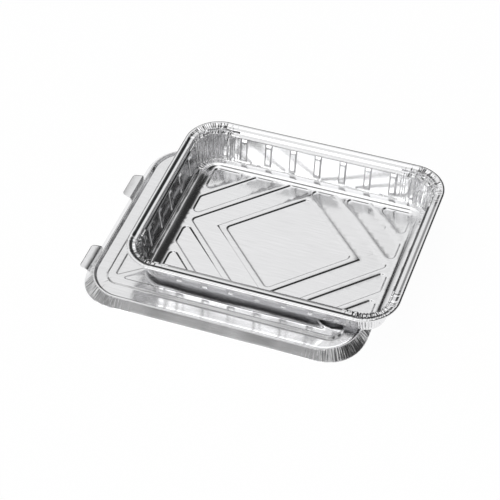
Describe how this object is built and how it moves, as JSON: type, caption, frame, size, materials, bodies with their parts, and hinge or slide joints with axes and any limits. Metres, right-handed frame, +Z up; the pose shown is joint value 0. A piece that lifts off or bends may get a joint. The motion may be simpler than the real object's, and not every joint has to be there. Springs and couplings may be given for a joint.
{
  "type": "foil food container",
  "caption": "Shallow rectangular foil food tray with a rolled rim, ribbed walls and an embossed floor, resting level on its loose foil lid.",
  "frame": {"origin": "middle of the footprint of tray, lid and tabs, in the plane that the lid's hem stands on", "axes": "+X along the long sides, towards the side where the tray overhangs the lid; +Y across, towards the side where the tray overhangs the lid; +Z up"},
  "size_m": [0.3811, 0.2847, 0.0564],
  "materials": {
    "tray_foil": "bright rolled foil, soft sheen, creased at the corners",
    "lid_foil": "bright rolled foil, soft sheen, creased at the corners"
  },
  "bodies": {
    "root": {"tray": "tray_foil", "lid": "lid_foil"}
  },
  "joints": []
}
